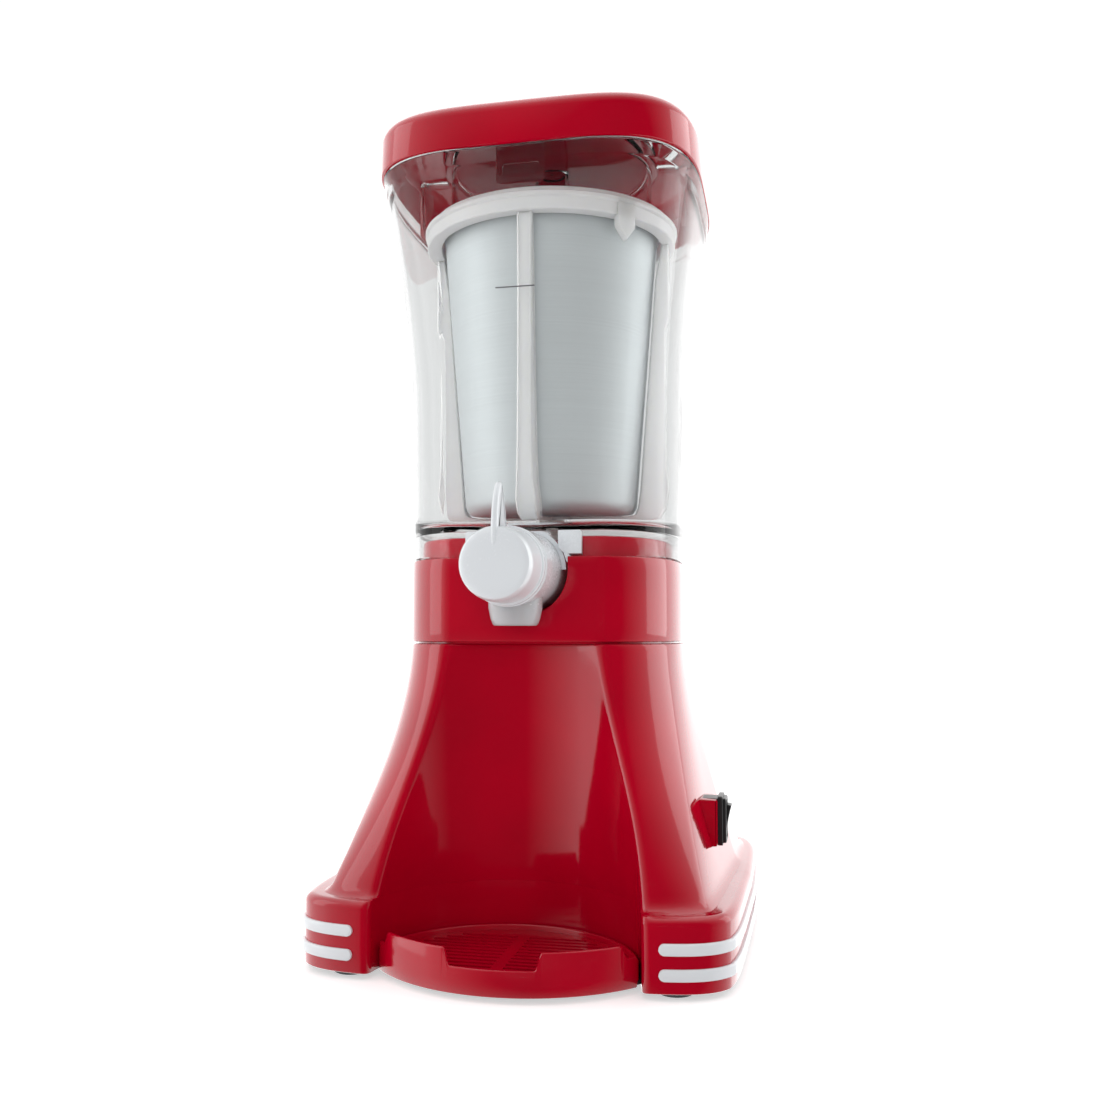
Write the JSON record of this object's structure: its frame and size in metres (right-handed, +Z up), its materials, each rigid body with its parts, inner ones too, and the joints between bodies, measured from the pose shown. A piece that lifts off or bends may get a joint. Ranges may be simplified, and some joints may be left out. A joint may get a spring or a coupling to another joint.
{
  "type": "slush drink machine",
  "caption": "Retro table-top slush drink machine: clear lift-off tank with a turning mixing frame round an ice canister, front tap, cup bay, drip tray and motor base.",
  "frame": {"origin": "centre of the footprint, on the surface that the machine stands on", "axes": "+Z up, -Y towards the tap and the drip tray, +X towards the side with the switch"},
  "size_m": [0.227, 0.2498, 0.446],
  "materials": {
    "red_plastic": "high gloss",
    "lid_red": "high gloss",
    "tray_red": "high gloss",
    "clear_plastic": "clear, polished",
    "milky_plastic": "translucent milky",
    "tap_white": "gloss",
    "stripe_white": "gloss",
    "canister_metal": "finely brushed round",
    "switch_black": "satin",
    "black_rubber": "matt",
    "foot_rubber": "matt",
    "seal_rubber": "matt",
    "base_black": "matt",
    "steel": "satin",
    "lamination": "dull",
    "copper_coil": "taped winding",
    "brass": "satin",
    "grey_nylon": "matt",
    "white_nylon": "matt"
  },
  "bodies": {
    "base": {"plinth": "red_plastic", "lower_housing": "red_plastic", "neck_housing": "red_plastic", "base_plate": "base_black", "base_screws": "steel", "neck_screws": "steel", "foot_front_left": "foot_rubber", "foot_front_right": "foot_rubber", "foot_rear_left": "foot_rubber", "foot_rear_right": "foot_rubber", "stripe_left_upper": "stripe_white", "stripe_left_lower": "stripe_white", "stripe_right_upper": "stripe_white", "stripe_right_lower": "stripe_white", "cord_bush": "black_rubber", "switch_bezel": "switch_black", "switch_terminals": "brass", "motor_stack": "lamination", "motor_coil": "copper_coil", "motor_bracket_upper": "steel", "motor_bracket_lower": "steel", "motor_bolts": "steel", "gearbox_case": "grey_nylon", "gearbox_cover": "grey_nylon", "gearbox_screws": "steel", "idler_pin": "steel", "output_bush": "brass"},
    "power_switch": {"switch_rocker": "switch_black"},
    "motor_rotor": {"rotor": "lamination", "motor_shaft": "steel", "motor_pinion": "brass", "cooling_fan": "white_nylon"},
    "idler": {"idler_gear": "white_nylon"},
    "output": {"output_gear": "white_nylon", "output_shaft": "steel", "drive_coupling": "white_nylon"},
    "tank_assembly": {"tank": "clear_plastic", "shaft_bush": "white_nylon", "tap_body": "tap_white", "tap_bracket": "tap_white", "tap_seal": "seal_rubber", "tap_nut": "tap_white"},
    "mixer": {"tank_spindle": "steel", "driven_coupling": "white_nylon", "mixing_frame": "milky_plastic"},
    "tap_valve": {"valve_plug": "tap_white", "tap_knob": "tap_white", "tap_lever": "tap_white"},
    "lid_assembly": {"canister": "canister_metal", "lid_insert": "clear_plastic", "lid": "lid_red"},
    "tray": {"drip_tray": "tray_red"},
    "grid": {"drip_grid": "tray_red"}
  },
  "joints": [
    {"name": "mixer_spin", "type": "hinge", "parent": "tank_assembly", "child": "mixer", "pos_m": [0, 0.0095, 0.225], "axis": [0, 0, 1], "continuous": true},
    {"name": "output_spin", "type": "hinge", "parent": "base", "child": "output", "pos_m": [0, 0.0095, 0.183], "axis": [0, 0, 1], "continuous": true},
    {"name": "idler_spin", "type": "hinge", "parent": "base", "child": "idler", "pos_m": [0.02475, 0.03899, 0.18], "axis": [0, 0, 1], "continuous": true},
    {"name": "rotor_spin", "type": "hinge", "parent": "base", "child": "motor_rotor", "pos_m": [0, 0.02426, 0.127], "axis": [0, 0, 1], "continuous": true},
    {"name": "tank_lift", "type": "slide", "parent": "base", "child": "tank_assembly", "axis": [0, 0, 1], "range_m": [0, 0.15]},
    {"name": "lid_lift", "type": "slide", "parent": "tank_assembly", "child": "lid_assembly", "axis": [0, 0, 1], "range_m": [0, 0.2]},
    {"name": "tap_turn", "type": "hinge", "parent": "tank_assembly", "child": "tap_valve", "pos_m": [0, -0.1025, 0.199], "axis": [0, 1, 0], "range_deg": [0, 90]},
    {"name": "tray_slide", "type": "slide", "parent": "base", "child": "tray", "axis": [0, -1, 0], "range_m": [0, 0.12]},
    {"name": "grid_lift", "type": "slide", "parent": "tray", "child": "grid", "axis": [0, 0, 1], "range_m": [0, 0.04]},
    {"name": "switch_press", "type": "hinge", "parent": "base", "child": "power_switch", "pos_m": [0.0965, -0.0205, 0.069], "axis": [0, 1, 0], "range_deg": [-20, 0]}
  ],
  "couplings": [
    {"joint": "output_spin", "follows": "mixer_spin", "ratio": 1},
    {"joint": "idler_spin", "follows": "mixer_spin", "ratio": -4},
    {"joint": "rotor_spin", "follows": "mixer_spin", "ratio": 20}
  ]
}
